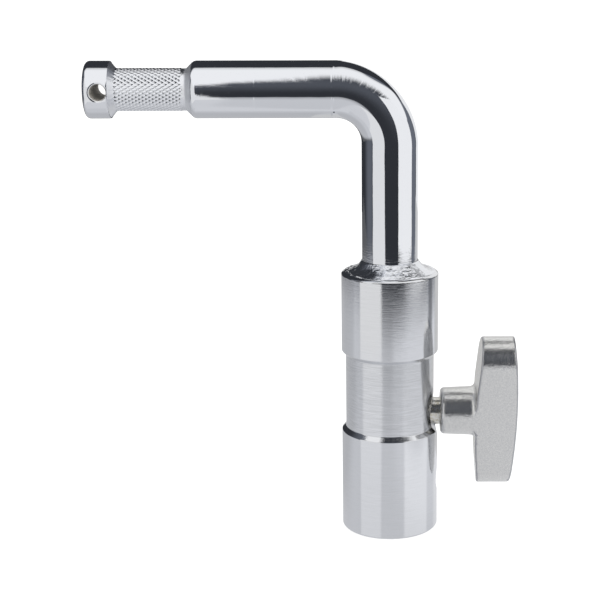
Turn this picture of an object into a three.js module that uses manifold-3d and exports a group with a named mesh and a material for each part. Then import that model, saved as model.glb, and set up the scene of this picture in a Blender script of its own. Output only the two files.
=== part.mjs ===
import * as THREE from 'three';
import { mergeVertices } from 'three/addons/utils/BufferGeometryUtils.js';
import Module from 'manifold-3d';

const wasm = await Module();
wasm.setup();

// Right angle baby pin adapter, in millimetres, with +Z up.
// The origin is the middle of the stud socket's mouth, on the bottom face of the body.
// The arm points along -X, and the clamp screw's handle is on the +X side.

// Receiver body: a grooved spigot outside, and a socket for a stud inside
const bodyRadius = 14;
const bodyHeight = 77.35;
const footChamfer = 0.5;
const topRound = 0.8;
const grooveRadius = 12.83;
const grooveBottom = 31;
const grooveTop = 52.75;
const socketRadius = 8.1;
const socketDepth = 58;
const socketMouthChamfer = 0.8;
const drillPointShare = 0.6;

// Safety pin hole through the wall of the lower collar
const pinHoleRadius = 3.5;
const pinHoleHeight = 14.3;
const pinHoleChamfer = 0.4;

// Bent rod, seated in the top of the body
const rodRadius = 8;
const rodSeatDepth = 12;
const rodFootChamfer = 1;
const seatClearance = 0.1;
const armHeight = 129.35;
const armReach = 84.85;
const bendRadius = 15;
const bendFlattening = 0.55;

// Baby pin, turned on the free end of the rod
const headLength = 6.75;
const headRound = 1.3;
const coneLength = 1.85;
const crossHoleRadius = 2.25;
const crossHoleInset = 4.4;
const crossHoleChamfer = 0.4;
const gripRadius = 5.85;
const gripLength = 19.5;
const shoulderRound = 2;
const knurlHeight = 0.2;
const knurlDepth = 0.25;
const knurlShoulderMargin = 1.3;
const knurlConeMargin = 0.3;
const knurlRows = 9;
const knurlTeeth = 34;

// Weld bead round the foot of the arm
const beadHeight = 3.3;
const beadRadius = 12.9;
const beadLip = 0.35;
const beadHollow = 2.2;
const beadRippleShare = 0.05;
const beadRipples = 16;

// Clamp screw, shown almost fully screwed in
const screwHeight = 35;
const screwRadius = 5;
const screwTipReach = 4.8;
const screwTipChamfer = 1;
const screwThreadLength = 6.2;
const neckRadius = 4;
const threadClearance = 0.25;
const countersink = 0.8;

// T handle on the outer end of the screw, turned as photographed
const handleTurn = THREE.MathUtils.degToRad(14);
const handleStandOff = 0.72;
const bossRadius = 6.85;
const bossRootRadius = 7.15;
const bossLength = 10.25;
const bossEdgeRound = 1.2;
const bossRootFillet = 1.3;
const barThickness = 12.05;
const barLength = 48;
const barDepth = 14;
const barEdgeRound = 1.5;
const barInnerFall = 1.15;
const barOuterFall = 1.4;
const barLeanShare = 0.014;
const screwSeatDepth = 8;
const screwSeatClearance = 0.1;

// Facets, and the overrun that every cut has
const bodySides = 64;
const holeSides = 32;
const bossSides = 48;
const bendSteps = 14;
const roundSteps = 3;
const barEndSteps = 12;
const beadSides = 4 * beadRipples;
const beadSteps = 5;
const cutOverrun = 2;

const quarterTurn = Math.PI / 2;
const eighthTurn = Math.PI / 4;

// Evenly spaced numbers from one value to another, both included
function spaced(from, to, steps) {
  return Array.from({ length: steps + 1 }, (_, i) => from + ((to - from) * i) / steps);
}

// Points of an arc from one angle to another, as [across, along]
function arc(centreAcross, centreAlong, radius, from, to, steps) {
  return spaced(from, to, steps).map((angle) => [
    centreAcross + radius * Math.cos(angle),
    centreAlong + radius * Math.sin(angle),
  ]);
}

// A turned shape from its outline of [radius, place] points, about the Y axis
function turned(outline, sides) {
  return new THREE.LatheGeometry(outline.map(([r, y]) => new THREE.Vector2(r, y)), sides);
}

function turnedAboutZ(outline, sides) {
  return turned(outline, sides).rotateX(quarterTurn);
}

function turnedAboutX(outline, sides) {
  return turned(outline, sides).rotateZ(-quarterTurn);
}

// The two triangles of a quad, split along its shorter diagonal
function quadTriangles(points, a, b, c, d) {
  if (points[a].distanceTo(points[c]) < points[b].distanceTo(points[d])) {
    return [a, b, c, a, c, d];
  }
  return [a, b, d, b, c, d];
}

// A closed skin over loops of points that run anticlockwise about the way they follow each other.
// The cap lists the triangles that close an end. Without a cap the last loop meets the first.
function loft(loops, cap) {
  const size = loops[0].length;
  const points = loops.flat();
  const triangles = [];
  const spans = cap ? loops.length - 1 : loops.length;
  for (let j = 0; j < spans; j++) {
    const here = j * size;
    const next = ((j + 1) % loops.length) * size;
    for (let i = 0; i < size; i++) {
      const k = (i + 1) % size;
      triangles.push(...quadTriangles(points, here + i, here + k, next + k, next + i));
    }
  }
  if (cap) {
    const last = (loops.length - 1) * size;
    for (const [a, b, c] of cap) {
      triangles.push(a, c, b, last + a, last + b, last + c);
    }
  }
  const geometry = new THREE.BufferGeometry().setFromPoints(points);
  geometry.setIndex(triangles);
  return geometry;
}

function fanCap(size) {
  return Array.from({ length: size - 2 }, (_, i) => [0, i + 1, i + 2]);
}

// A solid for joining and cutting
function solid(geometry) {
  const bare = geometry.clone();
  bare.deleteAttribute('normal');
  bare.deleteAttribute('uv');
  const merged = mergeVertices(bare);
  const corners = merged.index.array;
  const triVerts = [];
  for (let i = 0; i < corners.length; i += 3) {
    const [a, b, c] = corners.slice(i, i + 3);
    if (a !== b && b !== c && c !== a) {
      triVerts.push(a, b, c);
    }
  }
  const mesh = new wasm.Mesh({
    numProp: 3,
    vertProperties: merged.attributes.position.array,
    triVerts: new Uint32Array(triVerts),
  });
  return new wasm.Manifold(mesh);
}

function geometryOf(manifold) {
  const mesh = manifold.getMesh();
  const geometry = new THREE.BufferGeometry();
  geometry.setAttribute('position', new THREE.BufferAttribute(mesh.vertProperties, 3));
  geometry.setIndex(new THREE.BufferAttribute(mesh.triVerts, 1));
  return geometry;
}

// A part whose finished geometry has its own flat-shaded normals
function part(name, geometry, material) {
  const flat = geometry.index ? geometry.toNonIndexed() : geometry;
  flat.computeVertexNormals();
  const mesh = new THREE.Mesh(flat, material);
  mesh.name = name;
  return mesh;
}

function metal(color, roughness) {
  return new THREE.MeshStandardMaterial({ color, roughness, metalness: 1 });
}

// The body's outline runs from the socket's drill point down the socket, up the outside,
// and down the seat for the rod
function bodyOutline() {
  const collarStep = bodyRadius - grooveRadius;
  const seatRadius = rodRadius + seatClearance;
  const seatFloor = bodyHeight - rodSeatDepth;
  return [
    [0, socketDepth + socketRadius * drillPointShare],
    [socketRadius, socketDepth],
    [socketRadius, socketMouthChamfer],
    [socketRadius + socketMouthChamfer, 0],
    [bodyRadius - footChamfer, 0],
    [bodyRadius, footChamfer],
    [bodyRadius, grooveBottom - collarStep],
    [grooveRadius, grooveBottom],
    [grooveRadius, grooveTop],
    [bodyRadius, grooveTop + collarStep],
    ...arc(bodyRadius - topRound, bodyHeight - topRound, topRound, 0, quarterTurn, roundSteps),
    [seatRadius, bodyHeight],
    [seatRadius, seatFloor],
    [0, seatFloor],
  ];
}

// A round cutter along +X from the body's axis, which widens at 45 degrees near the surface
function wallCutter(radius, surface, chamfer, height) {
  const end = surface + cutOverrun;
  const outline = [
    [0, 0],
    [radius, 0],
    [radius, surface - chamfer],
    [radius + chamfer + cutOverrun, end],
    [0, end],
  ];
  return solid(turnedAboutX(outline, holeSides).translate(0, 0, height));
}

function receiverBody() {
  const screwHole = wallCutter(screwRadius + threadClearance, grooveRadius, countersink, screwHeight);
  const pinHole = wallCutter(pinHoleRadius, bodyRadius, pinHoleChamfer, pinHoleHeight);
  const body = solid(turnedAboutZ(bodyOutline(), bodySides)).subtract(screwHole).subtract(pinHole);
  return part('receiver_body', geometryOf(body), metal(0xc6c8cb, 0.25));
}

// The angle of a rod corner round its section, from the +Y side
function cornerAngle(corner) {
  return (corner * Math.PI) / knurlTeeth;
}

// A section of the rod: its centre, the way the rod runs there, and a radius for each corner
function legSection(height, radius) {
  return { centre: [0, height], along: [0, 1], radii: () => radius };
}

// Bending has drawn the rod in a little on the outside of the bend
function bendSection(turn) {
  const sideways = -bendRadius * (1 - Math.cos(turn));
  const upward = armHeight - bendRadius * (1 - Math.sin(turn));
  const radii = (corner) => {
    const outward = Math.max(0, -Math.sin(cornerAngle(corner)));
    return rodRadius - bendFlattening * Math.sin(2 * turn) * outward ** 2;
  };
  return { centre: [sideways, upward], along: [-Math.sin(turn), Math.cos(turn)], radii };
}

function armSection(reach, radii) {
  return { centre: [-reach, armHeight], along: [-1, 0], radii };
}

// Raised and sunk corners alternate round each ring and from ring to ring, which gives diamonds
function knurlSections(start, end) {
  return spaced(start, end, 2 * knurlRows).map((reach, ring) => {
    const radii = (corner) => {
      if (ring === 0) {
        return gripRadius;
      }
      return (corner + ring) % 2 === 0 ? gripRadius + knurlHeight : gripRadius - knurlDepth;
    };
    return armSection(reach, radii);
  });
}

function rodSections() {
  const foot = bodyHeight - rodSeatDepth + seatClearance;
  const coneStart = armReach - headLength;
  const gripEnd = coneStart - coneLength;
  const gripStart = gripEnd - gripLength;
  const roundFoot = rodRadius - shoulderRound * (1 - Math.sin(eighthTurn));
  const roundStart = gripStart - (roundFoot - gripRadius) - shoulderRound * Math.cos(eighthTurn);
  const headEdge = arc(rodRadius - headRound, armReach - headRound, headRound, 0, quarterTurn, roundSteps);
  const round = arc(0, rodRadius - shoulderRound, shoulderRound, quarterTurn, eighthTurn, roundSteps);
  return [
    legSection(foot, rodRadius - rodFootChamfer),
    legSection(foot + rodFootChamfer, rodRadius),
    ...spaced(0, quarterTurn, bendSteps).map(bendSection),
    ...round.map(([along, radius]) => armSection(roundStart + along, () => radius)),
    armSection(gripStart, () => gripRadius),
    ...knurlSections(gripStart + knurlShoulderMargin, gripEnd - knurlConeMargin),
    armSection(gripEnd, () => gripRadius),
    armSection(coneStart, () => rodRadius),
    ...headEdge.map(([radius, reach]) => armSection(reach, () => radius)),
  ];
}

// The corners of a rod section, anticlockwise about the way the rod runs
function rodLoop({ centre, along, radii }) {
  return Array.from({ length: 2 * knurlTeeth }, (_, corner) => {
    const angle = cornerAngle(corner);
    const radius = radii(corner);
    const inward = radius * Math.sin(angle);
    return new THREE.Vector3(
      centre[0] - along[1] * inward,
      radius * Math.cos(angle),
      centre[1] + along[0] * inward,
    );
  });
}

// A cutter across the pin's head, which widens at both mouths
function crossHoleCutter() {
  const mouth = rodRadius - crossHoleChamfer;
  const end = rodRadius + cutOverrun;
  const mouthRadius = crossHoleRadius + crossHoleChamfer + cutOverrun;
  const outline = [
    [0, -end],
    [mouthRadius, -end],
    [crossHoleRadius, -mouth],
    [crossHoleRadius, mouth],
    [mouthRadius, end],
    [0, end],
  ];
  return solid(turned(outline, holeSides).translate(crossHoleInset - armReach, 0, armHeight));
}

function bentPinArm() {
  const rod = solid(loft(rodSections().map(rodLoop), fanCap(2 * knurlTeeth)));
  return part('bent_pin_arm', geometryOf(rod.subtract(crossHoleCutter())), metal(0xd9dbdf, 0.08));
}

// A section of the bead at one place round the leg, hollow like a fillet and rippled along its run
function beadLoop(turn) {
  const inside = rodRadius + seatClearance;
  const swell = 1 + beadRippleShare * Math.cos(beadRipples * turn);
  const slope = spaced(0, 1, beadSteps).map((share) => {
    const rise = beadLip + (beadHeight - beadLip) * (1 - share) ** beadHollow;
    return [inside + (beadRadius - inside) * share, bodyHeight + rise * swell];
  });
  const outline = [[inside, bodyHeight], ...slope, [beadRadius, bodyHeight]];
  return outline.map(([r, z]) => new THREE.Vector3(r * Math.cos(turn), r * Math.sin(turn), z));
}

function armWeldBead() {
  const turns = spaced(0, 2 * Math.PI, beadSides).slice(0, beadSides);
  return part('arm_weld_bead', loft(turns.map(beadLoop), null), metal(0xd0d2d6, 0.2));
}

// Places along X: the boss face, the bar's inner face, and the screw's seat in the boss
const bossFace = bodyRadius + handleStandOff;
const barInner = bossFace + bossLength;
const screwSeatFloor = bossFace + screwSeatDepth;

function clampScrew() {
  const threadEnd = screwTipReach + screwThreadLength;
  const runOut = screwRadius - neckRadius;
  const rootEnd = screwSeatFloor - screwSeatClearance;
  const outline = [
    [0, screwTipReach],
    [screwRadius - screwTipChamfer, screwTipReach],
    [screwRadius, screwTipReach + screwTipChamfer],
    [screwRadius, threadEnd - runOut],
    [neckRadius, threadEnd],
    [neckRadius, rootEnd],
    [0, rootEnd],
  ];
  const screw = part('clamp_screw', turnedAboutX(outline, holeSides), metal(0xc4c0b4, 0.25));
  screw.position.z = screwHeight;
  return screw;
}

// The bar's two long faces, as X against the distance up from the middle of the bar, which leans a little
function innerFace(distance) {
  const level = bossRootRadius + bossRootFillet;
  const share = Math.max(0, Math.abs(distance) - level) / (barLength / 2 - level);
  return barInner + barInnerFall * share + barLeanShare * distance;
}

function outerFace(distance) {
  const fall = barOuterFall * (distance / (barLength / 2)) ** 2;
  return barInner + barThickness - fall + barLeanShare * distance;
}

// The bar seen along X: straight sides with half-round ends, drawn in by an inset
function barOutline(inset) {
  const radius = barDepth / 2 - inset;
  const straight = (barLength - barDepth) / 2;
  const level = bossRootRadius + bossRootFillet;
  const between = (straight + level) / 2;
  const stations = [between, level, 0, -level, -between];
  return [
    ...arc(0, straight, radius, 0, Math.PI, barEndSteps),
    ...stations.map((z) => [-radius, z]),
    ...arc(0, -straight, radius, Math.PI, 2 * Math.PI, barEndSteps),
    ...stations.map((z) => [radius, -z]),
  ];
}

// A cap of strips across the bar, between corners that mirror each other
function stripCap(size) {
  const mirror = (i) => (barEndSteps - i + 2 * size) % size;
  const tip = barEndSteps / 2;
  const triangles = [];
  for (let i = tip; i < tip + size / 2; i++) {
    triangles.push([i, i + 1, mirror(i + 1)]);
    if (mirror(i) !== i) {
      triangles.push([i, mirror(i + 1), mirror(i)]);
    }
  }
  return triangles.filter(([a, b, c]) => a !== b && b !== c && c !== a);
}

function handleBar() {
  const angles = spaced(0, quarterTurn, roundSteps);
  const insets = angles.map((angle) => barEdgeRound * (1 - Math.sin(angle)));
  const depths = angles.map((angle) => barEdgeRound * (1 - Math.cos(angle)));
  const innerLoops = insets.map((inset, i) =>
    barOutline(inset).map(([y, z]) => new THREE.Vector3(innerFace(z) + depths[i], y, z)));
  const outerLoops = insets.map((inset, i) =>
    barOutline(inset).map(([y, z]) => new THREE.Vector3(outerFace(z) - depths[i], y, z)));
  const loops = [...innerLoops, ...outerLoops.reverse()];
  return solid(loft(loops, stripCap(loops[0].length)));
}

// The boss, with a rounded edge and a flared root, no deeper than the bar
function handleBoss() {
  const flareEnd = barInner + barThickness / 2;
  const flareRadius = bossRootRadius + bossRootFillet;
  const flareStart = barInner - bossRootFillet;
  const outline = [
    [0, bossFace],
    ...arc(bossRadius - bossEdgeRound, bossFace + bossEdgeRound, bossEdgeRound, -quarterTurn, 0, roundSteps),
    ...arc(flareRadius, flareStart, bossRootFillet, Math.PI, quarterTurn, roundSteps),
    [flareRadius, flareEnd],
    [0, flareEnd],
  ];
  const slab = new THREE.BoxGeometry(2 * flareEnd, barDepth, barLength).translate(flareEnd, 0, 0);
  return solid(turnedAboutX(outline, bossSides)).intersect(solid(slab));
}

function tHandle() {
  const seatRadius = neckRadius + screwSeatClearance;
  const seat = [
    [0, bossFace - cutOverrun],
    [seatRadius, bossFace - cutOverrun],
    [seatRadius, screwSeatFloor],
    [0, screwSeatFloor],
  ];
  const casting = handleBar().add(handleBoss()).subtract(solid(turnedAboutX(seat, holeSides)));
  const handle = part('t_handle', geometryOf(casting), metal(0xb9b6af, 0.42));
  handle.position.z = screwHeight;
  handle.rotation.x = handleTurn;
  return handle;
}

const adapter = new THREE.Group();
adapter.add(receiverBody(), bentPinArm(), armWeldBead(), clampScrew(), tHandle());

export default adapter;
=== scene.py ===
import math

import bpy
from mathutils import Matrix, Vector, noise


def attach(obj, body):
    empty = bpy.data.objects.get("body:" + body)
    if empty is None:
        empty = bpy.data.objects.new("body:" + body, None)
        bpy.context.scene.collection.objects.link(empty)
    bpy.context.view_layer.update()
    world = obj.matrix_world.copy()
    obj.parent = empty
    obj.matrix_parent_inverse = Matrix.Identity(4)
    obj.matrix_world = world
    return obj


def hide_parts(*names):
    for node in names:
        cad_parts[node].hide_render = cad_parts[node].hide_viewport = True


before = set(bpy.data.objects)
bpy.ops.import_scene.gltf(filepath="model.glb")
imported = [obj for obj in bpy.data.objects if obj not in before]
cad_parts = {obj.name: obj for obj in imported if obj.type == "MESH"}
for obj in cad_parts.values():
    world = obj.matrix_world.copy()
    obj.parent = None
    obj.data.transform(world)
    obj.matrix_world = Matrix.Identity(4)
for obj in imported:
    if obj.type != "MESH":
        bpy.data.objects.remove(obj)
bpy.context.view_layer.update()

MM = 0.001
QUARTER_TURN = math.radians(90)
AXIS_Z = Vector((0, 0, 1))

# Places closer to each other than this are the same place
TOUCH = 1e-6

# Cutters run this far past the face that they cut
PAST = 1 * MM
HOLE_SIDES = 96

# Receiver body
BODY_RADIUS = 14 * MM
BODY_TOP = 77.35 * MM
BODY_SIDES = 224
BODY_EDGE_ROUND = 0.16 * MM
FOOT_CHAMFER = 0.5 * MM
CROWN_CHAMFER = 0.9 * MM
CROWN_CHAMFER_HEIGHT = 0.6 * MM
GROOVE_RADIUS = 12.83 * MM
GROOVE_BOTTOM = 31 * MM
GROOVE_TOP = 52.75 * MM
COLLAR_STEP = BODY_RADIUS - GROOVE_RADIUS
SOCKET_RADIUS = 8.1 * MM
SOCKET_DEPTH = 58 * MM
SOCKET_CHAMFER = 0.8 * MM
DRILL_POINT_SLOPE = 0.6
DRILL_POINT_RADIUS = 0.05 * MM
SEAT_RADIUS = 8.1 * MM
SEAT_FLOOR = BODY_TOP - 12 * MM
PIN_HOLE_RADIUS = 3.5 * MM
PIN_HOLE_HEIGHT = 14.3 * MM
PIN_HOLE_CHAMFER = 0.4 * MM
SCREW_HOLE_GAP = 0.25 * MM
SCREW_HOLE_CHAMFER = 0.8 * MM
WALL_BORE_START = 1 * MM

# Bent arm and its pin
ROD_RADIUS = 8 * MM
ARM_HEIGHT = 129.35 * MM
ARM_REACH = 84.85 * MM
ARM_FOOT = SEAT_FLOOR + 0.1 * MM
ARM_FOOT_CHAMFER = 1 * MM
BEND_RADIUS = 15 * MM
BEND_FLATTENING = 0.55 * MM
BEND_START = ARM_HEIGHT - BEND_RADIUS
BEND_STEPS = 40
SHOULDER_ROUND = 2 * MM
SHOULDER_SLOPE = math.radians(45)
SHOULDER_STEPS = 6
HEAD_LENGTH = 6.75 * MM
HEAD_ROUND = 1.3 * MM
HEAD_STEPS = 7
PIN_END_RADIUS = 3 * MM
CONE_START = ARM_REACH - HEAD_LENGTH
CONE_LENGTH = 1.85 * MM
CONE_FOOT = 0.1 * MM
CONE_BLEND = 0.25 * MM
CONE_EDGE_LENGTH = 0.5 * MM
CONE_EDGE_DROP = 0.13 * MM
CONE_EDGE_BEFORE = 0.6
CONE_EDGE_SHARES = (0.15, 0.45, 0.75, 1)
GRIP_RADIUS = 5.85 * MM
GRIP_LENGTH = 19.5 * MM
GRIP_ROOT = 0.12 * MM
GRIP_LIMIT = 6.5 * MM
GRIP_END = CONE_START - CONE_LENGTH
GRIP_START = GRIP_END - GRIP_LENGTH
KNURL_START = GRIP_START + 0.7 * MM
KNURL_END = GRIP_END - 0.1 * MM
KNURL_ROWS = 10
KNURL_TEETH = 34
KNURL_STEPS = 8
KNURL_RISE = 0.16 * MM
KNURL_DEPTH = 0.29 * MM
KNURL_FADE = 0.5
LONG_EDGE = 1 * MM
ROD_SIDES = KNURL_TEETH * KNURL_STEPS
CROSS_HOLE_RADIUS = 2.25 * MM
CROSS_HOLE_INSET = 4.4 * MM
CROSS_HOLE_ROUND = 0.65 * MM
CROSS_HOLE_TURN = math.radians(84)
CROSS_HOLE_STEPS = 5
CROSS_HOLE_FLARE = 1.5 * MM
CROSS_HOLE_MOUTH_END = ROD_RADIUS + 0.5 * MM

# Rings this close to a bend, a rounding or the cone keep the shading of the straight lengths
BEND_RING = 0.3 * MM
ROUND_RING = 0.2 * MM
CONE_RING = 0.4 * MM

# Weld bead
BEAD_RADIUS = 12.9 * MM
BEAD_TOP = 3.3 * MM
BEAD_EDGE = 0.05 * MM
BEAD_UNDERSIDE = 0.02 * MM
BEAD_BORE = SEAT_RADIUS - 0.001 * MM
BEAD_SIDES = 256
BEAD_STEPS = 26
RIPPLE_SIZE = 2.2 * MM

# The ripples' height and what the left side adds to it, in millimetres, and the depth of a dent
# for its size
RIPPLE = 0.05
LEFT_RIPPLE = 0.14
DENT_DEPTH = 0.4

# Shares of the way out over the bead: the skin fades in by the leg, and fades out before the edge
SKIN_IN = 0.2
SKIN_AT_LEG = 0.25
SKIN_OUT = (1, 0.88)

# Round the leg, in degrees from the front: where the straight front of the bead comes in and goes
# out, and where the rougher left side comes in
FRONT_IN = (-45, -10)
FRONT_OUT = (105, 55)
LEFT_IN = (-12, -32)

# Dents between the weld's ripples in front, in millimetres: sideways and forward from the leg's
# axis, and size
DENTS = [
    (0.2, 8.9, 0.4), (0.9, 9.6, 0.32), (2.5, 9.9, 0.4),
    (4.4, 10.2, 0.5), (4.1, 8.8, 0.35), (1.7, 11.2, 0.3),
]

# The weld's hollow outline at the sides, in millimetres: distance out and height
SIDE_OUTLINE = [
    (8.1, 3.3), (8.35, 2.95), (9.2, 1.7), (10, 1.05), (11, 0.52), (12, 0.1), (12.9, 0.04),
]

# Clamp screw
SCREW_HEIGHT = 35 * MM
SCREW_RADIUS = 5 * MM
SCREW_TIP = 4.8 * MM
THREAD_END = 11 * MM
THREAD_PITCH = 1.5 * MM
THREAD_DEPTH = 0.85 * MM
THREAD_CREST = 1.35
THREAD_START = SCREW_TIP + 0.3 * MM
THREAD_RUNOUT = THREAD_END - 0.2 * MM
SHANK_START = SCREW_TIP + 1.1 * MM
SHANK_END = THREAD_END - 1 * MM
SHANK_STEPS = 44
NECK_RADIUS = 4 * MM
NECK_GAP = 0.1 * MM

# The screw's tip: distance in from its end, and radius
TIP_OUTLINE = [(0, 3.9 * MM), (0.15 * MM, 4.05 * MM), (1 * MM, SCREW_RADIUS)]

# Handle
HANDLE_TURN = math.radians(14)
BOSS_FACE = 14.72 * MM
BOSS_RADIUS = 6.85 * MM
BOSS_ROOT = 7.15 * MM
BOSS_LENGTH = 10.25 * MM
BOSS_FLARE = 1.3 * MM
BAR_INNER = BOSS_FACE + BOSS_LENGTH
BAR_THICKNESS = 12.05 * MM
BAR_LENGTH = 48 * MM
BAR_DEPTH = 14 * MM
BAR_ROUND = 1.5 * MM
BAR_INNER_FALL = 1.15 * MM
BAR_OUTER_FALL = 1.4 * MM
BAR_LEAN = 0.014
BAR_CUTS = 11
BAR_CUT_SPACING = 2 * MM
SLAB_LENGTH = 60 * MM
NECK_SEAT_END = BOSS_FACE + 8 * MM
NECK_SEAT_SIDES = 64
SKIN_VOXEL = 0.3 * MM
SKIN_RELAXING = 6

# The boss's rounded edge, in millimetres: distance in from its face, and what the radius lacks
BOSS_EDGE_OUTLINE = [(0, 1.2), (0.1, 0.7), (0.35, 0.35), (0.7, 0.1), (1.2, 0)]

# The boss's flared root, in millimetres: distance before the bar, and what the radius gains
BOSS_ROOT_OUTLINE = [(1.3, 0), (0.65, 0.18), (0.18, 0.65), (0, 1.3), (-5, 1.3)]


# Modelling

def settle(obj):
    """Put the object's place, turn and scale into its mesh."""
    pick(obj)
    bpy.ops.object.transform_apply(location=True, rotation=True, scale=True)


def pick(obj):
    """Make this the one object that the next step works on."""
    bpy.ops.object.select_all(action="DESELECT")
    obj.select_set(True)
    bpy.context.view_layer.objects.active = obj


def edit(obj):
    """Open the object's mesh, with nothing selected."""
    pick(obj)
    bpy.ops.object.mode_set(mode="EDIT")
    bpy.ops.mesh.select_all(action="DESELECT")


def done():
    """Close the mesh."""
    bpy.ops.object.mode_set(mode="OBJECT")


def pick_vertices(obj, wanted):
    """Select the vertices that the test accepts, from inside edit mode."""
    bpy.ops.object.mode_set(mode="OBJECT")
    for vertex in obj.data.vertices:
        vertex.select = wanted(vertex.co)
    for edge in obj.data.edges:
        edge.select = all(obj.data.vertices[i].select for i in edge.vertices)
    for face in obj.data.polygons:
        face.select = all(obj.data.vertices[i].select for i in face.vertices)
    bpy.ops.object.mode_set(mode="EDIT")


def ring(name, sides, radius, centre, along):
    """A disc of one face that looks back along the way in which rings will be drawn out."""
    turn = AXIS_Z.rotation_difference(-Vector(along)).to_euler()
    bpy.ops.mesh.primitive_circle_add(
        vertices=sides, radius=radius, fill_type="NGON", location=centre, rotation=turn)
    obj = bpy.context.object
    obj.name = name
    settle(obj)
    return obj


def draw_out(centre, along, profile):
    """Extrude the selected face ring by ring. The profile gives each ring's place and radius."""
    along = Vector(along)
    place, radius = profile[0]
    for next_place, next_radius in profile[1:]:
        bpy.ops.mesh.extrude_region_move(
            TRANSFORM_OT_translate={"value": along * (next_place - place)})
        middle = Vector(centre) + along * next_place
        share = next_radius / radius
        grow = [1 if abs(a) > 0.5 else share for a in along]
        bpy.ops.transform.resize(value=grow, center_override=middle)
        place, radius = next_place, next_radius


def turned(name, sides, along, profile, centre=(0, 0, 0)):
    """A closed turned shape from rings, each a place along the axis and a radius."""
    start = Vector(centre) + Vector(along) * profile[0][0]
    obj = ring(name, sides, profile[0][1], start, along)
    edit(obj)
    bpy.ops.mesh.select_all(action="SELECT")
    draw_out(centre, along, profile)
    bpy.ops.mesh.select_all(action="SELECT")
    bpy.ops.mesh.normals_make_consistent(inside=False)
    done()
    return obj


def work(obj, kind, **settings):
    """Give the object a modifier with these settings, and apply it."""
    pick(obj)
    modifier = obj.modifiers.new(kind.lower(), kind)
    for name, value in settings.items():
        setattr(modifier, name, value)
    bpy.ops.object.modifier_apply(modifier=modifier.name)


def cut(obj, cutter, operation="DIFFERENCE"):
    """Cut the cutter out of the object, or join or cross the two, and throw the cutter away."""
    work(obj, "BOOLEAN", object=cutter, operation=operation, solver="EXACT")
    bpy.data.objects.remove(cutter)


def round_edges(obj, width, segments, angle):
    """Round the edges that turn by more than the angle, in degrees."""
    work(obj, "BEVEL", width=width, segments=segments, limit_method="ANGLE",
         angle_limit=math.radians(angle))


def smooth(obj, angle):
    """Shade the object smoothly, apart from edges that turn by more than the angle, in degrees."""
    pick(obj)
    bpy.ops.object.shade_smooth_by_angle(angle=math.radians(angle))


def weigh_normals(obj):
    """Let the broad faces keep their own way of facing, beside the narrow roundings."""
    work(obj, "WEIGHTED_NORMAL", keep_sharp=True)


def finish_piece(obj, node, body, material):
    """Give the piece its material, hide the part that it stands for, and say what it rides on."""
    obj.data.materials.clear()
    obj.data.materials.append(material)
    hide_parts(node)
    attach(obj, body)


def wave(value):
    """A ridge that is 0 at whole numbers and 1 half way between them."""
    return 1 - abs(2 * (value % 1) - 1)


def ramp(value, start, end):
    """A straight rise from 0 at the start to 1 at the end."""
    return min(1, max(0, (value - start) / (end - start)))


# Shader sums

class Wire:
    """A shader socket that takes part in sums."""

    def __init__(self, graph, socket):
        self.graph = graph
        self.socket = socket

    def sum(self, operation, *values):
        """A sum of this kind over the values."""
        return self.graph.node("ShaderNodeMath", {"operation": operation}, dict(enumerate(values)))

    def __add__(self, other):
        return self.sum("ADD", self, other)

    __radd__ = __add__

    def __sub__(self, other):
        return self.sum("SUBTRACT", self, other)

    def __rsub__(self, other):
        return self.sum("SUBTRACT", other, self)

    def __mul__(self, other):
        return self.sum("MULTIPLY", self, other)

    __rmul__ = __mul__

    def at_least(self, limit):
        return self.sum("MAXIMUM", self, limit)

    def at_most(self, limit):
        return self.sum("MINIMUM", self, limit)

    def above(self, start, end):
        """A smooth step from 0 at the start to 1 at the end."""
        return self.graph.node(
            "ShaderNodeMapRange", {"interpolation_type": "SMOOTHSTEP"},
            {"Value": self, "From Min": start, "From Max": end})

    def within(self, low, high, blur):
        """1 between two values, with smooth edges."""
        return self.above(low - blur, low + blur) * (1 - self.above(high - blur, high + blur))

    def near(self, value, reach, blur):
        """1 round one value, with smooth edges."""
        return (self - value).within(-reach, reach, blur)


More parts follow.
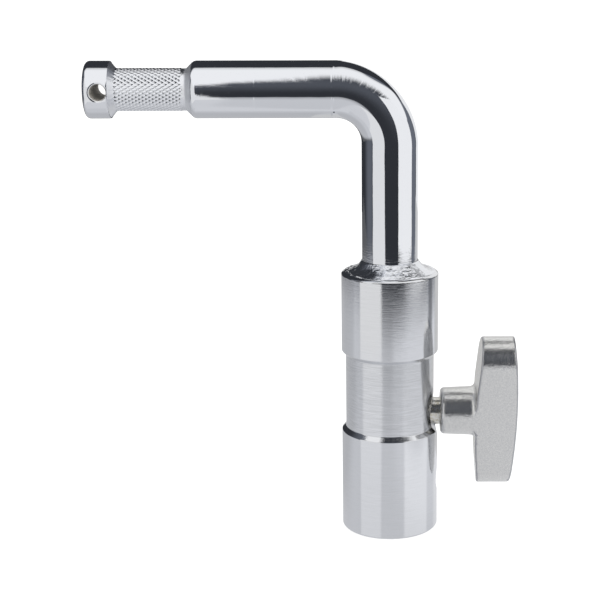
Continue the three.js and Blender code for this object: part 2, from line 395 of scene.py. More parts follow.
class Graph:
    """The nodes of one material or world."""

    def __init__(self, tree):
        self.tree = tree
        tree.nodes.clear()

    def node(self, kind, settings=None, inputs=None, output=0):
        """Add a node, set or wire up its inputs, and give one of its outputs."""
        made = self.tree.nodes.new(kind)
        for name, value in (settings or {}).items():
            setattr(made, name, value)
        for name, value in (inputs or {}).items():
            if isinstance(value, Wire):
                self.tree.links.new(value.socket, made.inputs[name])
            else:
                made.inputs[name].default_value = value
        return Wire(self, made.outputs[output]) if len(made.outputs) else None

    def in_millimetres(self, spot, stretch):
        """A place in millimetres, stretched along X, Y and Z."""
        scale = [s / MM for s in stretch]
        return self.node("ShaderNodeVectorMath", {"operation": "MULTIPLY"}, {0: spot, 1: scale})

    def parts(self, spot):
        """The X, Y and Z of a place or way."""
        split = self.node("ShaderNodeSeparateXYZ", None, {0: spot}).socket.node
        return [Wire(self, socket) for socket in split.outputs]

    def place(self, stretch=(1, 1, 1)):
        """Object coordinates, in millimetres, stretched."""
        spot = self.node("ShaderNodeTexCoord", output="Object")
        return self.in_millimetres(spot, stretch)

    def along_course(self, stretch=(1, 1, 1)):
        """The noted course of the bent bar, in millimetres, stretched."""
        course = self.node("ShaderNodeAttribute", {"attribute_name": "course"}, output="Vector")
        return self.in_millimetres(course, stretch)

    def grain(self, spot, scale=1, detail=3, roughness=0.5):
        """Noise at a place."""
        return self.node("ShaderNodeTexNoise", None, {
            "Vector": spot, "Scale": scale, "Detail": detail, "Roughness": roughness})

    def mix(self, factor, first, second):
        """A mix of two colours."""
        return self.node(
            "ShaderNodeMix", {"data_type": "RGBA"}, {0: factor, 6: first, 7: second}, output=2)

    def bump(self, height, strength, distance, under=None):
        """The surface's normal with a relief on it, over another relief if one is given."""
        inputs = {"Height": height, "Strength": strength, "Distance": distance}
        if under:
            inputs["Normal"] = under
        return self.node("ShaderNodeBump", None, inputs)

    def glow(self, colour, strength=1.0):
        """A surface that gives light."""
        return self.node("ShaderNodeEmission", None, {"Color": colour, "Strength": strength})

    def background(self, colour):
        """What surrounds everything."""
        return self.node("ShaderNodeBackground", None, {"Color": colour, "Strength": 1.0})

    def clear(self):
        """A surface that can't be seen."""
        return self.node("ShaderNodeBsdfTransparent")

    def both(self, first, second):
        """One surface added to another."""
        return self.node("ShaderNodeAddShader", None, {0: first, 1: second})

    def blend(self, factor, first, second):
        """A mix of two surfaces."""
        return self.node("ShaderNodeMixShader", None, {0: factor, 1: first, 2: second})

    def ray(self, kind):
        """1 for rays of this kind."""
        return self.node("ShaderNodeLightPath", output=kind)

    def end(self, surface, kind="ShaderNodeOutputMaterial"):
        """Make this surface the material, or the world."""
        self.node(kind, None, {"Surface": surface})


def distance(first, second):
    """A straight distance, from its lengths along two axes."""
    square = first * first + second * second
    return square.sum("SQRT", square)


def direction(x, y):
    """Degrees round from the front: 90 on the right and -90 on the left."""
    return x.sum("ARCTAN2", x, y * -1) * (180 / math.pi)


def rgb(red, green, blue):
    return (red, green, blue, 1)


def new_material(name):
    """An empty material and its nodes."""
    material = bpy.data.materials.new(name)
    material.use_nodes = True
    return material, Graph(material.node_tree)


# Colours
BLACK = rgb(0, 0, 0)
WHITE = rgb(1, 1, 1)
PLATING = rgb(0.845, 0.86, 0.895)
PLATING_SPECK = rgb(0.6, 0.6, 0.62)
BORE_STEEL = rgb(0.62, 0.6, 0.56)
TURNED_STEEL = rgb(0.815, 0.825, 0.85)
TURNING_LINE = rgb(0.7, 0.71, 0.73)
# Painted shade for the thin line under the body's crown
PAINTED_RIM_SHADE = rgb(0.12, 0.12, 0.12)
# Painted shade for the weld's folds
WELD_FOLD_SHADE = rgb(0.45, 0.45, 0.47)
SCREW_PLATING = rgb(0.76, 0.75, 0.72)
SCREW_OIL = rgb(0.6, 0.56, 0.45)
CASTING_SKIN = rgb(0.85, 0.845, 0.825)
CASTING_PIT = rgb(0.71, 0.71, 0.71)
# Painted shade for the handle's hollows and sharp edges
PAINTED_HOLLOW_SHADE = rgb(0.3, 0.31, 0.34)
ROOM_TINT = rgb(0.9, 0.97, 1.14)
TABLE_PAINT = rgb(0.42, 0.42, 0.42)
TABLE_TINT = rgb(0.98, 0.99, 1.02)

# Along the course of the bent bar, in millimetres from the start of the bend
LEG_FADE = (-37, -24)
FIRST_BENDER_MARK = 24.4
SECOND_BENDER_MARK = 45.8
ARM_SPAN = (26, 66)
SHOULDER_EDGE = 64.6
GRIP_SPAN = (65.8, 84.4)
CONE_EDGE = 85.7

# Heights on the body, in millimetres
UPPER_COLLAR_FADE = (57, 66)
# Where the painted line of shade under the crown chamfer runs
CROWN_LINE = (76.5, 76.72)


def metal_surface(graph, inputs):
    """Close the material with a metal surface."""
    inputs = {"Metallic": 1.0, **inputs}
    graph.end(graph.node("ShaderNodeBsdfPrincipled", None, inputs))


def arm_chrome():
    """Mirror plating over a bent bar, with polishing and grinding marks and two bender's marks."""
    material, graph = new_material("arm_chrome")
    along, _, out = graph.parts(graph.along_course())
    x, _, z = graph.parts(graph.place())
    off_hole = distance(x - (CROSS_HOLE_INSET - ARM_REACH) / MM, z - ARM_HEIGHT / MM)
    cloudy = graph.grain(graph.along_course((0.12, 0.3, 0.3)), detail=2)
    rings = graph.grain(graph.along_course((5, 0.15, 0.15)), detail=2)
    drag = graph.grain(graph.along_course((1.8, 0.3, 0.3)))
    grinding = graph.grain(graph.along_course((2.5, 0.35, 0.35)))
    specks = graph.grain(graph.place(), scale=2.2, detail=1).above(0.72, 0.8)
    bender = along.near(FIRST_BENDER_MARK, 0.2, 0.45)
    bender = bender + along.near(SECOND_BENDER_MARK, 0.15, 0.3) * 0.25
    dull_edges = along.near(SHOULDER_EDGE, 1.1, 0.3) + along.near(CONE_EDGE, 0.8, 0.2) * 0.6
    grip = along.within(*GRIP_SPAN, 0.4)
    bore = 1 - off_hole.above(2.3, 2.5)
    dragged = drag * out.above(-0.5, 1.5) * along.within(*ARM_SPAN, 4)
    ground = grinding * (1 - along.above(*LEG_FADE))
    normal = graph.bump(cloudy, strength=0.25, distance=0.1 * MM)
    normal = graph.bump(rings, strength=0.05, distance=0.05 * MM, under=normal)
    normal = graph.bump(dragged, strength=0.06, distance=0.1 * MM, under=normal)
    normal = graph.bump(ground, strength=0.3, distance=0.1 * MM, under=normal)
    normal = graph.bump(bender, strength=0.6, distance=0.12 * MM, under=normal)
    polish = 0.035 + cloudy * 0.03 + specks * 0.1
    metal_surface(graph, {
        "Base Color": graph.mix(
            bore, graph.mix(specks * 0.3, PLATING, PLATING_SPECK), BORE_STEEL),
        "Metallic": 1 - bore * 0.85,
        "Roughness": polish + dull_edges * 0.42 + grip * 0.14 + bore * 0.3,
        "Normal": normal,
    })
    return material


def body_steel():
    """Plated steel with turning marks round it, coarse in the groove and finer on the collars."""
    material, graph = new_material("body_steel")
    height = graph.parts(graph.place())[2]
    fine = graph.grain(graph.place((0.25, 0.25, 16)), detail=2)
    coarse = graph.grain(graph.place((0.16, 0.16, 4.5)))
    cloudy = graph.grain(graph.place((0.08, 0.08, 0.12)), detail=2)
    groove = height.within(GROOVE_BOTTOM / MM, GROOVE_TOP / MM, 0.1)
    upper = height.above(*UPPER_COLLAR_FADE)
    breaks = graph.grain(graph.place((0.4, 0.4, 2)), detail=2).above(0.4, 0.55)
    # A painted dark line of shade under the crown chamfer, broken in places
    rim = height.within(*CROWN_LINE, 0.08) * breaks
    ragged = coarse * (0.1 + groove * 0.7 + upper * 0.45)
    lines = graph.grain(graph.place((0.2, 0.2, 7))).above(0.32, 0.68) * (0.3 + groove * 0.7)
    normal = graph.bump(fine, strength=0.12, distance=0.05 * MM)
    normal = graph.bump(ragged, strength=0.25, distance=0.06 * MM, under=normal)
    metal_surface(graph, {
        "Base Color": graph.mix(
            rim * 0.8, graph.mix(lines, TURNED_STEEL, TURNING_LINE), PAINTED_RIM_SHADE),
        "Roughness": 0.055 + fine * 0.03 + cloudy * 0.02 + groove * 0.11,
        "Anisotropic": 0.7,
        "Anisotropic Rotation": 0.25,
        "Normal": normal,
    })
    return material


def weld_steel():
    """Plated weld metal, glossy on the lumps, with painted shade in the folds."""
    material, graph = new_material("weld_steel")
    spot = graph.place()
    flow = graph.grain(spot, scale=0.9)
    swirls = graph.grain(graph.place((0.3, 0.3, 1.8)))
    specks = graph.grain(spot, scale=4, detail=2)
    # Painted shade: where the weld folds inwards, its colour turns dark
    raised = graph.node("ShaderNodeNewGeometry", output="Pointiness").above(0.42, 0.495)
    normal = graph.bump(flow + swirls * 2.4, strength=0.55, distance=0.15 * MM)
    normal = graph.bump(specks, strength=0.06, distance=0.05 * MM, under=normal)
    metal_surface(graph, {
        "Base Color": graph.mix(raised, WELD_FOLD_SHADE, PLATING),
        "Roughness": 0.08 + flow * 0.12,
        "Normal": normal,
    })
    return material


def screw_steel():
    """Plated thread with a trace of yellow oil."""
    material, graph = new_material("screw_steel")
    spot = graph.place()
    oil = graph.grain(spot, scale=1.4).above(0.4, 0.7)
    pits = graph.grain(spot, scale=5, detail=2)
    metal_surface(graph, {
        "Base Color": graph.mix(oil, SCREW_PLATING, SCREW_OIL),
        "Roughness": 0.2 + oil * 0.12,
        "Normal": graph.bump(pits, strength=0.1, distance=0.05 * MM),
    })
    return material


def handle_casting():
    """Tumbled die casting: a satin skin of fine pits, with painted shade in the hollows and on
    sharp edges.
    """
    material, graph = new_material("handle_casting")
    spot = graph.place()
    pits = graph.grain(spot, scale=2.6, detail=4, roughness=0.7)
    dents = graph.grain(spot, scale=1.1)
    cloudy = graph.grain(spot, scale=0.25, detail=2)
    pointed = graph.node("ShaderNodeNewGeometry", output="Pointiness")
    # Painted shade: 1 on the open skin, 0 in the hollows and lower on sharp edges
    unshaded = pointed.above(0.4, 0.485) * (1 - 0.65 * pointed.above(0.507, 0.53))
    skin = graph.mix(pits.above(0.3, 0.7), CASTING_SKIN, CASTING_PIT)
    normal = graph.bump(pits, strength=0.6, distance=0.09 * MM)
    normal = graph.bump(dents, strength=0.5, distance=0.15 * MM, under=normal)
    metal_surface(graph, {
        "Base Color": graph.mix(unshaded, PAINTED_HOLLOW_SHADE, skin),
        "Roughness": 0.14 + pits * 0.1 + cloudy * 0.05,
        "Normal": normal,
    })
    return material


# Pieces

def rod_profile():
    """Places along the arm and radii, from the end of the bend to the end of the pin."""
    round_foot = ROD_RADIUS - SHOULDER_ROUND * (1 - math.sin(SHOULDER_SLOPE))
    round_start = GRIP_START - (round_foot - GRIP_RADIUS)
    round_start -= SHOULDER_ROUND * math.cos(SHOULDER_SLOPE)
    profile = [
        (BEND_RADIUS, ROD_RADIUS), (BEND_RADIUS + BEND_RING, ROD_RADIUS),
        (round_start - ROUND_RING, ROD_RADIUS)]
    for step in range(SHOULDER_STEPS + 1):
        angle = QUARTER_TURN - SHOULDER_SLOPE * step / SHOULDER_STEPS
        place = round_start + SHOULDER_ROUND * math.cos(angle)
        profile.append((place, ROD_RADIUS - SHOULDER_ROUND * (1 - math.sin(angle))))
    rise = (ROD_RADIUS - GRIP_RADIUS) / CONE_LENGTH
    profile += [
        (GRIP_START - GRIP_ROOT, GRIP_RADIUS + GRIP_ROOT), (GRIP_START + GRIP_ROOT, GRIP_RADIUS),
        (KNURL_START, GRIP_RADIUS), (KNURL_END, GRIP_RADIUS),
        (GRIP_END + CONE_FOOT, GRIP_RADIUS + CONE_FOOT * rise),
        (CONE_START - CONE_BLEND, ROD_RADIUS - CONE_BLEND * rise)]
    for share in CONE_EDGE_SHARES:
        place = CONE_START + (share - CONE_EDGE_BEFORE) * CONE_EDGE_LENGTH
        profile.append((place, ROD_RADIUS - CONE_EDGE_DROP * (1 - share) ** 2))
    profile += [
        (CONE_START + CONE_RING, ROD_RADIUS), (ARM_REACH - HEAD_ROUND - ROUND_RING, ROD_RADIUS)]
    for step in range(HEAD_STEPS + 1):
        angle = QUARTER_TURN * step / HEAD_STEPS
        place = ARM_REACH - HEAD_ROUND + HEAD_ROUND * math.sin(angle)
        profile.append((place, ROD_RADIUS - HEAD_ROUND * (1 - math.cos(angle))))
    profile.append((ARM_REACH, PIN_END_RADIUS))
    return profile


def flatten_bend(co):
    """Draw the outside of the bend in a little, as cold bending does."""
    centre = Vector((-BEND_RADIUS, 0, BEND_START))
    spoke = Vector((co.x - centre.x, 0, co.z - centre.z))
    if spoke.x <= 0 or spoke.z <= 0:
        return
    turn = math.atan2(spoke.z, spoke.x)
    outward = (spoke.length - BEND_RADIUS) / ROD_RADIUS
    if outward > 0:
        spoke.normalize()
        co -= spoke * BEND_FLATTENING * math.sin(2 * turn) * outward ** 3


def knurl(co):
    """Raise crossed helical ridges on the grip and sink the hollows between them."""
    reach = -co.x
    if not KNURL_START - TOUCH < reach < KNURL_END + TOUCH:
        return
    around = math.atan2(co.z - ARM_HEIGHT, co.y) * KNURL_TEETH / math.tau
    along = (reach - KNURL_START) / (KNURL_END - KNURL_START) * KNURL_ROWS
    height = min(wave(around + along), wave(around - along))
    fade = min(1, along / KNURL_FADE)
    radius = GRIP_RADIUS + fade * (KNURL_RISE - KNURL_DEPTH * (1 - height))
    flat = Vector((0, co.y, co.z - ARM_HEIGHT)).normalized() * radius
    co.y, co.z = flat.y, ARM_HEIGHT + flat.z


def make_arm(material):
    """A round bar: up out of the body, round the bend, and turned to a pin at its free end."""
    foot_radius = ROD_RADIUS - ARM_FOOT_CHAMFER
    foot_end = ARM_FOOT + ARM_FOOT_CHAMFER
    arm = ring("arm", ROD_SIDES, foot_radius, (0, 0, ARM_FOOT), (0, 0, 1))
    edit(arm)
    bpy.ops.mesh.select_all(action="SELECT")
    draw_out((0, 0, 0), (0, 0, 1), [
        (ARM_FOOT, foot_radius), (foot_end, ROD_RADIUS), (foot_end + ROUND_RING, ROD_RADIUS),
        (BEND_START - BEND_RING, ROD_RADIUS), (BEND_START, ROD_RADIUS)])
    bpy.ops.mesh.spin(
        steps=BEND_STEPS, angle=QUARTER_TURN, center=(-BEND_RADIUS, 0, BEND_START), axis=(0, 1, 0))
    draw_out((0, 0, ARM_HEIGHT), (-1, 0, 0), rod_profile())
    subdivide_knurl(arm)
    bpy.ops.mesh.select_all(action="SELECT")
    bpy.ops.mesh.normals_make_consistent(inside=False)
    done()
    for vertex in arm.data.vertices:
        flatten_bend(vertex.co)
    cut(arm, cross_bore())
    for vertex in arm.data.vertices:
        knurl(vertex.co)
    note_course(arm)
    smooth(arm, angle=32)
    finish_piece(arm, "bent_pin_arm", "body", material)


def cross_bore():
    """The pin's cross hole, with rounded mouths that follow the bar's curve."""
    mouth = []
    for step in range(CROSS_HOLE_STEPS + 1):
        angle = CROSS_HOLE_TURN * step / CROSS_HOLE_STEPS
        place = ROD_RADIUS - CROSS_HOLE_ROUND * (1 - math.sin(angle))
        mouth.append((place, CROSS_HOLE_RADIUS + CROSS_HOLE_ROUND * (1 - math.cos(angle))))
    place, radius = mouth[-1]
    mouth.append((place + CROSS_HOLE_FLARE, radius + CROSS_HOLE_FLARE))
    profile = [(-place, radius) for place, radius in reversed(mouth)] + mouth
    centre = (CROSS_HOLE_INSET - ARM_REACH, 0, ARM_HEIGHT)
    bore = turned("bore", HOLE_SIDES, (0, 1, 0), profile, centre)
    for vertex in bore.data.vertices:
        if abs(vertex.co.y) > CROSS_HOLE_MOUTH_END:
            continue
        aside = vertex.co.z - ARM_HEIGHT
        sag = ROD_RADIUS - math.sqrt(ROD_RADIUS ** 2 - aside ** 2)
        vertex.co.y -= math.copysign(sag, vertex.co.y)
    return bore


def note_course(arm):
    """Note where each point was on the bar before bending: along it, sideways, and outwards."""
    course = arm.data.attributes.new("course", "FLOAT_VECTOR", "POINT")
    for vertex, place in zip(arm.data.vertices, course.data):
        x, y, z = vertex.co.x + BEND_RADIUS, vertex.co.y, vertex.co.z - BEND_START
        if z <= 0 or x >= BEND_RADIUS + ROD_RADIUS * 2:
            place.vector = (z, y, vertex.co.x)
        elif x <= 0:
            place.vector = (BEND_RADIUS * QUARTER_TURN - x, y, z - BEND_RADIUS)
        else:
            place.vector = (BEND_RADIUS * math.atan2(z, x), y, math.hypot(x, z) - BEND_RADIUS)


def subdivide_knurl(arm):
    """Cut the grip's long faces into short ones, enough for each ridge of the knurl."""
    def in_grip(co):
        along = KNURL_START - TOUCH < -co.x < KNURL_END + TOUCH
        return along and math.hypot(co.y, co.z - ARM_HEIGHT) < GRIP_LIMIT
    bpy.ops.mesh.select_mode(type="EDGE")
    bpy.ops.object.mode_set(mode="OBJECT")
    mesh = arm.data
    for vertex in mesh.vertices:
        vertex.select = False
    for face in mesh.polygons:
        face.select = False
    for edge in mesh.edges:
        first, second = (mesh.vertices[i].co for i in edge.vertices)
        is_long = abs(first.x - second.x) > LONG_EDGE
        edge.select = in_grip(first) and in_grip(second) and is_long
    bpy.ops.object.mode_set(mode="EDIT")
    cuts = KNURL_ROWS * KNURL_STEPS - 1
    bpy.ops.mesh.subdivide_edgering(number_cuts=cuts, interpolation="LINEAR")


def wall_bore(name, radius, surface, chamfer, height):
    """A hole from the socket out through the body's wall, with a chamfer at the surface."""
    end = surface + 2 * PAST
    return turned(name, HOLE_SIDES, (1, 0, 0), [
        (WALL_BORE_START, radius), (surface - chamfer, radius),
        (end, radius + chamfer + 2 * PAST)], (0, 0, height))


def make_body(material):
    """A turned bar with two collars, a groove between them, and a blind socket for a stud."""
    body = turned("body_of_adapter", BODY_SIDES, (0, 0, 1), [
        (0, BODY_RADIUS - FOOT_CHAMFER), (FOOT_CHAMFER, BODY_RADIUS),
        (GROOVE_BOTTOM - COLLAR_STEP, BODY_RADIUS), (GROOVE_BOTTOM, GROOVE_RADIUS),
        (GROOVE_TOP, GROOVE_RADIUS), (GROOVE_TOP + COLLAR_STEP, BODY_RADIUS),
        (BODY_TOP - CROWN_CHAMFER_HEIGHT, BODY_RADIUS), (BODY_TOP, BODY_RADIUS - CROWN_CHAMFER)])
    round_edges(body, BODY_EDGE_ROUND, segments=3, angle=20)
    point_end = SOCKET_DEPTH + SOCKET_RADIUS * DRILL_POINT_SLOPE
    cut(body, turned("socket", BODY_SIDES, (0, 0, 1), [
        (-PAST, SOCKET_RADIUS + SOCKET_CHAMFER + PAST), (SOCKET_CHAMFER, SOCKET_RADIUS),
        (SOCKET_DEPTH, SOCKET_RADIUS), (point_end, DRILL_POINT_RADIUS)]))
    cut(body, turned("seat", BODY_SIDES, (0, 0, 1), [
        (SEAT_FLOOR, SEAT_RADIUS), (BODY_TOP + 2 * PAST, SEAT_RADIUS)]))
    cut(body, wall_bore(
        "screw_hole", SCREW_RADIUS + SCREW_HOLE_GAP, GROOVE_RADIUS, SCREW_HOLE_CHAMFER,
        SCREW_HEIGHT))
    cut(body, wall_bore(
        "pin_hole", PIN_HOLE_RADIUS, BODY_RADIUS, PIN_HOLE_CHAMFER, PIN_HOLE_HEIGHT))
    smooth(body, angle=28)
    weigh_normals(body)
    finish_piece(body, "receiver_body", "body", material)


def bead_share(radius):
    """How far out on the bead a radius is: 0 at the leg and 1 at the bead's edge."""
    return (radius - SEAT_RADIUS) / (BEAD_RADIUS - SEAT_RADIUS)


def side_height(radius):
    """The bead's hollow outline at the sides and behind."""
    for (near, high), (far, low) in zip(SIDE_OUTLINE, SIDE_OUTLINE[1:]):
        if radius <= far * MM:
            return (high + (low - high) * (radius / MM - near) / (far - near)) * MM
    return SIDE_OUTLINE[-1][1] * MM


def front_height(radius):
    """The bead's straight outline in front."""
    return BEAD_EDGE + (BEAD_TOP - BEAD_EDGE) * max(0, 1 - bead_share(radius))


def lump(co):
    """Shape the bead's skin: hollow at the sides, straight in front, with dents and ripples."""
    radius = math.hypot(co.x, co.y)
    if co.z < BODY_TOP + BEAD_UNDERSIDE:
        return
    turn = math.degrees(math.atan2(co.x, -co.y))
    share = bead_share(radius)
    front = ramp(turn, *FRONT_IN) * ramp(turn, *FRONT_OUT)
    height = side_height(radius) * (1 - front) + front_height(radius) * front
    sunk = 0
    for aside, forward, size in DENTS:
        away = math.hypot(co.x - aside * MM, co.y + forward * MM) / (size * MM)
        sunk = max(sunk, math.exp(-away ** 2) * size)
    ripple = RIPPLE + LEFT_RIPPLE * ramp(turn, *LEFT_IN)
    fade = ramp(share, *SKIN_OUT) * min(1, SKIN_AT_LEG + share / SKIN_IN)
    skin = ripple * noise.fractal(co / RIPPLE_SIZE, 0.9, 2.2, 3) - DENT_DEPTH * sunk
    co.z = BODY_TOP + height + fade * skin * MM


def make_weld(material):
    """A low, lumpy cone of weld metal from the leg down to the rim of the body."""
    profile = [(BODY_TOP, BEAD_RADIUS)]
    for step in range(BEAD_STEPS + 1):
        share = 1 - step / BEAD_STEPS
        radius = SEAT_RADIUS + (BEAD_RADIUS - SEAT_RADIUS) * share
        profile.append((BODY_TOP + front_height(radius), radius))
    weld = turned("weld", BEAD_SIDES, (0, 0, 1), profile)
    cut(weld, turned("inside", BEAD_SIDES, (0, 0, 1), [
        (BODY_TOP - PAST, BEAD_BORE), (BODY_TOP + BEAD_TOP + PAST, BEAD_BORE)]))
    for vertex in weld.data.vertices:
        lump(vertex.co)
    smooth(weld, angle=60)
    finish_piece(weld, "arm_weld_bead", "body", material)


def thread(co):
    """Roll a right-hand thread into the plain shank."""
    if not THREAD_START < co.x < THREAD_RUNOUT:
        return
    across = Vector((0, co.y, co.z - SCREW_HEIGHT))
    if across.length < NECK_RADIUS + NECK_GAP:
        return
    angle = math.atan2(across.z, across.y)
    ridge = wave(co.x / THREAD_PITCH - angle / math.tau) * THREAD_CREST
    radius = across.length - THREAD_DEPTH * (1 - min(1, ridge))
    across = across.normalized() * max(radius, NECK_RADIUS)
    co.y, co.z = across.y, SCREW_HEIGHT + across.z


def make_screw(material):
    """A clamp screw: a chamfered tip, a thread, and a plain neck that sits in the handle."""
    profile = [(SCREW_TIP + place, radius) for place, radius in TIP_OUTLINE]
    for step in range(SHANK_STEPS + 1):
        place = SHANK_START + (SHANK_END - SHANK_START) * step / SHANK_STEPS
        profile.append((place, SCREW_RADIUS))
    profile += [(THREAD_END, NECK_RADIUS), (NECK_SEAT_END - NECK_GAP, NECK_RADIUS)]
    screw = turned("screw", HOLE_SIDES, (1, 0, 0), profile, (0, 0, SCREW_HEIGHT))
    for vertex in screw.data.vertices:
        thread(vertex.co)
    smooth(screw, angle=30)
    finish_piece(screw, "clamp_screw", "screw", material)


def shape_bar(co):
    """Crown the bar's outer face and let its inner face fall back towards the ends."""
    half = BAR_LENGTH / 2
    level = BOSS_ROOT + BOSS_FLARE
    inner = BAR_INNER + BAR_INNER_FALL * max(0, abs(co.z) - level) / (half - level)
    outer = BAR_INNER + BAR_THICKNESS - BAR_OUTER_FALL * (co.z / half) ** 2
    share = (co.x - BAR_INNER) / BAR_THICKNESS
    co.x = inner + (outer - inner) * share + BAR_LEAN * co.z


def make_bar():
    """The handle's bar, with round ends, a crowned outer face and rounded edges."""
    straight = (BAR_LENGTH - BAR_DEPTH) / 2
    bar = ring("handle", HOLE_SIDES, BAR_DEPTH / 2, (BAR_INNER, 0, straight), (1, 0, 0))
    edit(bar)
    pick_vertices(bar, lambda co: co.z < straight - TOUCH)
    bpy.ops.transform.translate(value=(0, 0, -2 * straight))
    bpy.ops.mesh.select_all(action="SELECT")
    bpy.ops.mesh.extrude_region_move(TRANSFORM_OT_translate={"value": (BAR_THICKNESS, 0, 0)})
    for step in range(-BAR_CUTS, BAR_CUTS + 1):
        bpy.ops.mesh.select_all(action="SELECT")
        bpy.ops.mesh.bisect(plane_co=(0, 0, step * BAR_CUT_SPACING), plane_no=(0, 0, 1))
    bpy.ops.mesh.select_all(action="SELECT")
    bpy.ops.mesh.normals_make_consistent(inside=False)
    done()
    for vertex in bar.data.vertices:
        shape_bar(vertex.co)
    round_edges(bar, BAR_ROUND, segments=5, angle=50)
    return bar


def make_boss():
    """The handle's boss, with a rounded edge and a flared root no deeper than the bar."""
    profile = []
    for inward, lack in BOSS_EDGE_OUTLINE:
        profile.append((BOSS_FACE + inward * MM, BOSS_RADIUS - lack * MM))
    for before, gain in BOSS_ROOT_OUTLINE:
        profile.append((BAR_INNER - before * MM, BOSS_ROOT + gain * MM))
    boss = turned("boss", HOLE_SIDES, (1, 0, 0), profile)
    corner = BAR_DEPTH / 2 * math.sqrt(2)
    slab = turned("slab", 4, (1, 0, 0), [(0, corner), (SLAB_LENGTH, corner)])
    slab.rotation_euler.x = QUARTER_TURN / 2
    settle(slab)
    cut(boss, slab, "INTERSECT")
    return boss


def make_handle(material):
    """A T handle cast in one piece: a round-ended bar on a short boss, with soft blends."""
    handle = make_bar()
    cut(handle, make_boss(), "UNION")
    soften(handle)
    seat_radius = NECK_RADIUS + NECK_GAP
    cut(handle, turned("neck_seat", NECK_SEAT_SIDES, (1, 0, 0), [
        (BOSS_FACE - PAST, seat_radius), (NECK_SEAT_END, seat_radius)]))
    handle.rotation_euler.x = HANDLE_TURN
    handle.location.z = SCREW_HEIGHT
    settle(handle)
    smooth(handle, angle=40)
    finish_piece(handle, "t_handle", "handle", material)


def soften(casting):
    """Even out the casting's skin and blend the root of the boss into the bar."""
    work(casting, "REMESH", mode="VOXEL", voxel_size=SKIN_VOXEL)
    work(casting, "SMOOTH", factor=0.5, iterations=SKIN_RELAXING)


# Studio

# The photograph's camera: its place and the ways it is turned, and in the photograph's pixels its
# focal length and how far the picture's middle is shifted
CAMERA_PLACE = (-0.00428954, -0.43147715, 0.17832172)
CAMERA_RIGHT = (0.9999975, -0.0005553, -0.0021827)
CAMERA_UP = (0.0022523, 0.2465600, 0.9691249)
CAMERA_BACK = (0, -0.9691274, 0.2465606)
FOCAL_LENGTH = 1540.188
PICTURE_SHIFT = -75
PICTURE_WIDTH = 600
SENSOR_WIDTH = 36

# The dark room that the metal sees, in degrees round from the front
ROOM_SHADE = 0.036
ROOM_RIGHT = (97, 130)
ROOM_LEFT = (-112, -72)

# The table, and its top as the metal sees it, in millimetres: its edges, and where its painted
# light grows darker. The painted dark gap's direction is in degrees round from the front
TABLE_SIZE = 6000 * MM
TABLE_LEVEL = -0.02 * MM
TABLE_SIDES = (-395, 330)
TABLE_FRONT = (-289, -279)
TABLE_BACK = (392, 398)
TABLE_FRONT_SLANT = 0.2
TABLE_TONE = 0.62
LEFT_FALL = (268, 400)
RIGHT_FALL = (222, 345)
FAR_FRONT_FALL = (-292, -222)
NEAR_FRONT_FALL = (-240, -165)
GAP_DIRECTION = (101, 117)
GAP_START = (120, 190)

# The upright cards, in millimetres: start and end on the table, bottom and top, then strength, and
# how far the end leans back towards the start at its top
CARDS = [
    ("left_card", (-195, -60, 0), (-66, -196, 0), 0, 250, 0.82, 38),
    ("right_card", (128, -191, 0), (218, 33, 0), 36, 250, 0.95, 0),
    ("back_card", (76, 53, 0), (-25, 53, 0), 0, 84, 0.62, 0),
    ("upper_back_card", (66, 53, 0), (-12, 53, 0), 84, 155, 0.9, 0),
]

# The overhead sheet: its middle and size, and in millimetres where it fades at its front edge and
# at its inner edge over the part
SHEET_PLACE = (62 * MM, -65 * MM, 176.5 * MM)
SHEET_SIZE = (365 * MM, 250 * MM, 1)
SHEET_FRONT = (-54, -18)
SHEET_INNER = (3, 6)
SHEET_INNER_FALL = (-8, 5)

# The soft lamp
LAMP_PLACE = (0.1, -0.3, 1.1)
LAMP_TILT = math.radians(-15)
LAMP_WIDTH = 0.8
LAMP_DEPTH = 0.6
LAMP_POWER = 3


def make_camera():
    """The photograph's view: a long lens, a little above the part and pitched down."""
    turn = Matrix((CAMERA_RIGHT, CAMERA_UP, CAMERA_BACK)).transposed().to_4x4()
    data = bpy.data.cameras.new("camera")
    camera = bpy.data.objects.new("camera", data)
    camera.matrix_world = Matrix.Translation(CAMERA_PLACE) @ turn
    data.sensor_width = SENSOR_WIDTH
    data.lens = SENSOR_WIDTH * FOCAL_LENGTH / PICTURE_WIDTH
    data.shift_x = PICTURE_SHIFT / PICTURE_WIDTH
    data.clip_start = 0.01
    bpy.context.scene.collection.objects.link(camera)
    bpy.context.scene.camera = camera


def make_world():
    """White behind the part. The metal sees a dark room, lighter in front and at both sides."""
    world = bpy.data.worlds.new("studio")
    bpy.context.scene.world = world
    world.use_nodes = True
    graph = Graph(world.node_tree)
    x, y, z = graph.parts(graph.node("ShaderNodeTexCoord", output="Generated"))
    round_from_front = direction(x, y)
    front = (y * -1).above(0.3, 0.9) * z.above(-0.2, 0.45) * 0.06
    right = round_from_front.within(*ROOM_RIGHT, 2) * 0.13
    left = round_from_front.within(*ROOM_LEFT, 16) * 0.1
    shade = graph.mix(ROOM_SHADE + front + right + left, BLACK, ROOM_TINT)
    plain = 1 - graph.ray("Is Glossy Ray")
    shown = graph.blend(plain, graph.background(shade), graph.background(WHITE))
    graph.end(shown, "ShaderNodeOutputWorld")


def table_tone(x, y):
    """Painted light on the top that the metal sees: dimmer far out, with a painted dark gap on the
    right.
    """
    away = distance(x, y)
    right = x.above(0, 40)
    behind = (1 - x.above(-30, -5)) * y.above(-10, 40)
    near = TABLE_TONE - 0.1 * behind + right * (0.07 + 0.09 * away.above(110, 210))
    left_fall = 1 - 0.8 * away.above(*LEFT_FALL)
    right_fall = 1 - 0.62 * away.above(*RIGHT_FALL)
    front_fall = 0.42 + 0.36 * y.above(*FAR_FRONT_FALL) + 0.22 * y.above(*NEAR_FRONT_FALL)
    gap = 1 - 0.65 * direction(x, y).within(*GAP_DIRECTION, 4) * away.above(*GAP_START)
    return near * front_fall * gap * (left_fall + (right_fall - left_fall) * right)


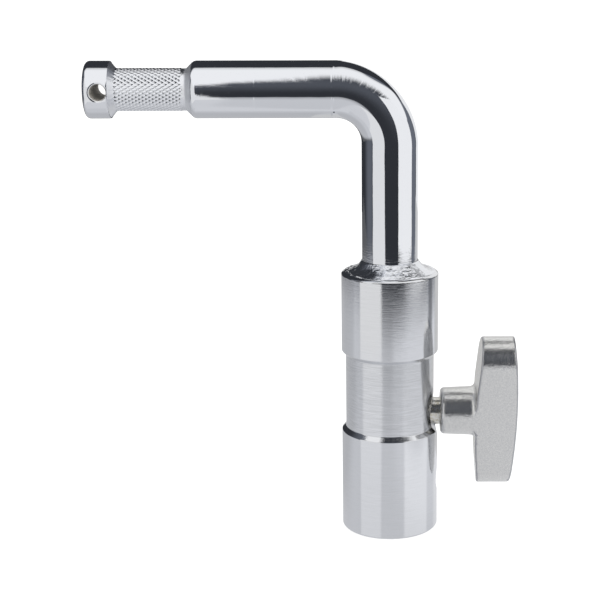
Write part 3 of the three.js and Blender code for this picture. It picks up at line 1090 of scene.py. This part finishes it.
def make_floor():
    """A pale table with a faint shadow. The metal sees a glossy top of painted light that ends on
    all sides.
    """
    bpy.ops.mesh.primitive_plane_add(size=TABLE_SIZE, location=(0, 0, TABLE_LEVEL))
    floor = bpy.context.object
    floor.name = "floor"
    settle(floor)
    material, graph = new_material("pale_table")
    x, y, _ = graph.parts(graph.place())
    matt = graph.node("ShaderNodeBsdfDiffuse", None, {"Color": TABLE_PAINT})
    bright = graph.both(matt, graph.glow(WHITE, 0.75))
    lit = graph.blend(graph.ray("Is Camera Ray"), matt, bright)
    # Painted light: the top glows for the metal, dimmer far out and with a dark gap on the right
    top = graph.glow(graph.mix(table_tone(x, y), BLACK, TABLE_TINT))
    gloss = graph.node("ShaderNodeBsdfGlossy", None, {"Color": WHITE, "Roughness": 0.05})
    share = graph.node("ShaderNodeFresnel", None, {"IOR": 1.8})
    table = graph.blend(share, top, graph.both(top, gloss))
    front_edge = (y - TABLE_FRONT_SLANT * x.at_least(-15)).above(*TABLE_FRONT)
    inside = front_edge * (1 - y.above(*TABLE_BACK)) * x.within(*TABLE_SIDES, 3)
    edged = graph.blend(inside, graph.clear(), table)
    graph.end(graph.blend(graph.ray("Is Glossy Ray"), lit, edged))
    floor.data.materials.append(material)


def make_card(name, start, end, bottom, top, strength, lean):
    """A bright upright card, which only the metal sees."""
    start, end = Vector(start) * MM, Vector(end) * MM
    run = end - start
    bpy.ops.mesh.primitive_plane_add(size=1, location=(0, 0, 0))
    card = bpy.context.object
    card.name = name
    card.scale = (run.length, (top - bottom) * MM, 1)
    card.rotation_euler = (QUARTER_TURN, 0, math.atan2(run.y, run.x))
    card.location = ((start.x + end.x) / 2, (start.y + end.y) / 2, (top + bottom) / 2 * MM)
    settle(card)
    for vertex in card.data.vertices:
        at_end = (vertex.co.xy - end.xy).length < 1 * MM
        if at_end and vertex.co.z > (bottom + 1) * MM:
            vertex.co -= run.normalized() * lean * MM
    material, graph = new_material(name)
    graph.end(graph.glow(WHITE, strength))
    show_in_metal(card, material)


def show_in_metal(card, material):
    """Give the card its material, and let only reflections show it."""
    card.data.materials.append(material)
    card.visible_camera = False
    card.visible_diffuse = False
    card.visible_shadow = False


def make_overhead():
    """A bright sheet close above the part, with a frayed front edge, which only the metal sees."""
    bpy.ops.mesh.primitive_plane_add(size=1, location=SHEET_PLACE)
    sheet = bpy.context.object
    sheet.name = "overhead_sheet"
    sheet.scale = SHEET_SIZE
    settle(sheet)
    material, graph = new_material("overhead_sheet")
    x, y, _ = graph.parts(graph.place())
    frays = graph.grain(graph.place((1.1, 0.004, 1)), roughness=0.6).above(0.4, 0.8)
    reach = frays * frays * (60 + 200 * (1 - x.above(-68, -55)))
    slant = 1.2 * (x + 20).at_most(0) + 0.8 * (x + 47).at_most(0)
    inner = y - 6 * x.above(-18, -8) + 4 * x.above(8, 18) - 46 * x.above(20, 75)
    shown = (y + reach - slant).above(*SHEET_FRONT) * (1 - inner.above(*SHEET_INNER))
    strength = 0.97 - 0.34 * inner.above(*SHEET_INNER_FALL)
    light = graph.glow(graph.mix(strength, BLACK, WHITE))
    graph.end(graph.blend(shown, graph.clear(), light))
    show_in_metal(sheet, material)


def make_lamp():
    """A broad soft lamp overhead, which gives the shadow on the table."""
    data = bpy.data.lights.new("soft_lamp", "AREA")
    data.shape = "RECTANGLE"
    data.size = LAMP_WIDTH
    data.size_y = LAMP_DEPTH
    data.energy = LAMP_POWER
    lamp = bpy.data.objects.new("soft_lamp", data)
    lamp.location = LAMP_PLACE
    lamp.rotation_euler = (LAMP_TILT, 0, 0)
    lamp.visible_glossy = False
    lamp.visible_camera = False
    bpy.context.scene.collection.objects.link(lamp)


make_camera()
make_world()
make_floor()
for card in CARDS:
    make_card(*card)
make_overhead()
make_lamp()
make_body(body_steel())
make_arm(arm_chrome())
make_weld(weld_steel())
make_screw(screw_steel())
make_handle(handle_casting())

bpy.context.scene.view_settings.view_transform = "Standard"
